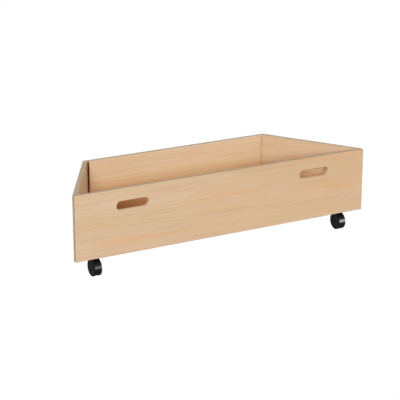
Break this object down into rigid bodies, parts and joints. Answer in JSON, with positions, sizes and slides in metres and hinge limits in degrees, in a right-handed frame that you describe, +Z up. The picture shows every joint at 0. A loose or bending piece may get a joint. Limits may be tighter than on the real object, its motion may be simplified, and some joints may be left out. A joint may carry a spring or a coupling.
{
  "type": "under bed box",
  "caption": "Low open-topped wooden storage box on twin-wheel swivel castors, trapezoid in plan, with stadium-shaped handle slots through the long front panel.",
  "frame": {"origin": "on the floor, below the centre of the object's bounding box", "axes": "+X along the long front panel to the right as seen from the front, -Y out of the front face, +Z up"},
  "size_m": [0.945, 0.3, 0.245],
  "materials": {
    "front_wood": "satin",
    "side_wood": "satin",
    "back_wood": "satin",
    "bottom_wood": "satin",
    "dowel_wood": "raw",
    "screw_steel": "zinc plated",
    "plate_steel": "satin",
    "axle_steel": "satin",
    "housing_plastic": "satin",
    "wheel_plastic": "satin"
  },
  "bodies": {
    "box": {"front_panel": "front_wood", "left_side_panel": "side_wood", "right_side_panel": "side_wood", "back_panel": "back_wood", "bottom_panel": "bottom_wood", "front_left_corner_dowel_1": "dowel_wood", "front_left_corner_dowel_2": "dowel_wood", "front_right_corner_dowel_1": "dowel_wood", "front_right_corner_dowel_2": "dowel_wood", "back_left_corner_dowel_1": "dowel_wood", "back_left_corner_dowel_2": "dowel_wood", "back_right_corner_dowel_1": "dowel_wood", "back_right_corner_dowel_2": "dowel_wood", "front_bottom_dowel_1": "dowel_wood", "front_bottom_dowel_2": "dowel_wood", "front_bottom_dowel_3": "dowel_wood", "left_side_screw_1": "screw_steel", "left_side_screw_2": "screw_steel", "right_side_screw_1": "screw_steel", "right_side_screw_2": "screw_steel", "back_screw_1": "screw_steel", "back_screw_2": "screw_steel", "front_left_castor_plate": "plate_steel", "front_left_castor_screw_1": "screw_steel", "front_left_castor_screw_2": "screw_steel", "front_left_castor_screw_3": "screw_steel", "front_left_castor_screw_4": "screw_steel", "front_right_castor_plate": "plate_steel", "front_right_castor_screw_1": "screw_steel", "front_right_castor_screw_2": "screw_steel", "front_right_castor_screw_3": "screw_steel", "front_right_castor_screw_4": "screw_steel", "rear_left_castor_plate": "plate_steel", "rear_left_castor_screw_1": "screw_steel", "rear_left_castor_screw_2": "screw_steel", "rear_left_castor_screw_3": "screw_steel", "rear_left_castor_screw_4": "screw_steel", "rear_right_castor_plate": "plate_steel", "rear_right_castor_screw_1": "screw_steel", "rear_right_castor_screw_2": "screw_steel", "rear_right_castor_screw_3": "screw_steel", "rear_right_castor_screw_4": "screw_steel"},
    "front_left_swivel": {"front_left_castor_housing": "housing_plastic", "front_left_castor_axle": "axle_steel"},
    "front_left_left_roller": {"front_left_castor_left_wheel": "wheel_plastic"},
    "front_left_right_roller": {"front_left_castor_right_wheel": "wheel_plastic"},
    "front_right_swivel": {"front_right_castor_housing": "housing_plastic", "front_right_castor_axle": "axle_steel"},
    "front_right_left_roller": {"front_right_castor_left_wheel": "wheel_plastic"},
    "front_right_right_roller": {"front_right_castor_right_wheel": "wheel_plastic"},
    "rear_left_swivel": {"rear_left_castor_housing": "housing_plastic", "rear_left_castor_axle": "axle_steel"},
    "rear_left_left_roller": {"rear_left_castor_left_wheel": "wheel_plastic"},
    "rear_left_right_roller": {"rear_left_castor_right_wheel": "wheel_plastic"},
    "rear_right_swivel": {"rear_right_castor_housing": "housing_plastic", "rear_right_castor_axle": "axle_steel"},
    "rear_right_left_roller": {"rear_right_castor_left_wheel": "wheel_plastic"},
    "rear_right_right_roller": {"rear_right_castor_right_wheel": "wheel_plastic"}
  },
  "joints": [
    {"name": "front_left_castor_swivel", "type": "hinge", "parent": "box", "child": "front_left_swivel", "pos_m": [-0.405, -0.1025, 0.057], "axis": [0, 0, 1], "continuous": true},
    {"name": "front_left_castor_left_wheel_spin", "type": "hinge", "parent": "front_left_swivel", "child": "front_left_left_roller", "pos_m": [-0.4125, -0.1245, 0.025], "axis": [1, 0, 0], "continuous": true},
    {"name": "front_left_castor_right_wheel_spin", "type": "hinge", "parent": "front_left_swivel", "child": "front_left_right_roller", "pos_m": [-0.3975, -0.1245, 0.025], "axis": [1, 0, 0], "continuous": true},
    {"name": "front_right_castor_swivel", "type": "hinge", "parent": "box", "child": "front_right_swivel", "pos_m": [0.405, -0.1025, 0.057], "axis": [0, 0, 1], "continuous": true},
    {"name": "front_right_castor_left_wheel_spin", "type": "hinge", "parent": "front_right_swivel", "child": "front_right_left_roller", "pos_m": [0.3975, -0.1245, 0.025], "axis": [1, 0, 0], "continuous": true},
    {"name": "front_right_castor_right_wheel_spin", "type": "hinge", "parent": "front_right_swivel", "child": "front_right_right_roller", "pos_m": [0.4125, -0.1245, 0.025], "axis": [1, 0, 0], "continuous": true},
    {"name": "rear_left_castor_swivel", "type": "hinge", "parent": "box", "child": "rear_left_swivel", "pos_m": [-0.2825, 0.095, 0.057], "axis": [0, 0, 1], "continuous": true},
    {"name": "rear_left_castor_left_wheel_spin", "type": "hinge", "parent": "rear_left_swivel", "child": "rear_left_left_roller", "pos_m": [-0.29, 0.073, 0.025], "axis": [1, 0, 0], "continuous": true},
    {"name": "rear_left_castor_right_wheel_spin", "type": "hinge", "parent": "rear_left_swivel", "child": "rear_left_right_roller", "pos_m": [-0.275, 0.073, 0.025], "axis": [1, 0, 0], "continuous": true},
    {"name": "rear_right_castor_swivel", "type": "hinge", "parent": "box", "child": "rear_right_swivel", "pos_m": [0.2825, 0.095, 0.057], "axis": [0, 0, 1], "continuous": true},
    {"name": "rear_right_castor_left_wheel_spin", "type": "hinge", "parent": "rear_right_swivel", "child": "rear_right_left_roller", "pos_m": [0.275, 0.073, 0.025], "axis": [1, 0, 0], "continuous": true},
    {"name": "rear_right_castor_right_wheel_spin", "type": "hinge", "parent": "rear_right_swivel", "child": "rear_right_right_roller", "pos_m": [0.29, 0.073, 0.025], "axis": [1, 0, 0], "continuous": true}
  ]
}
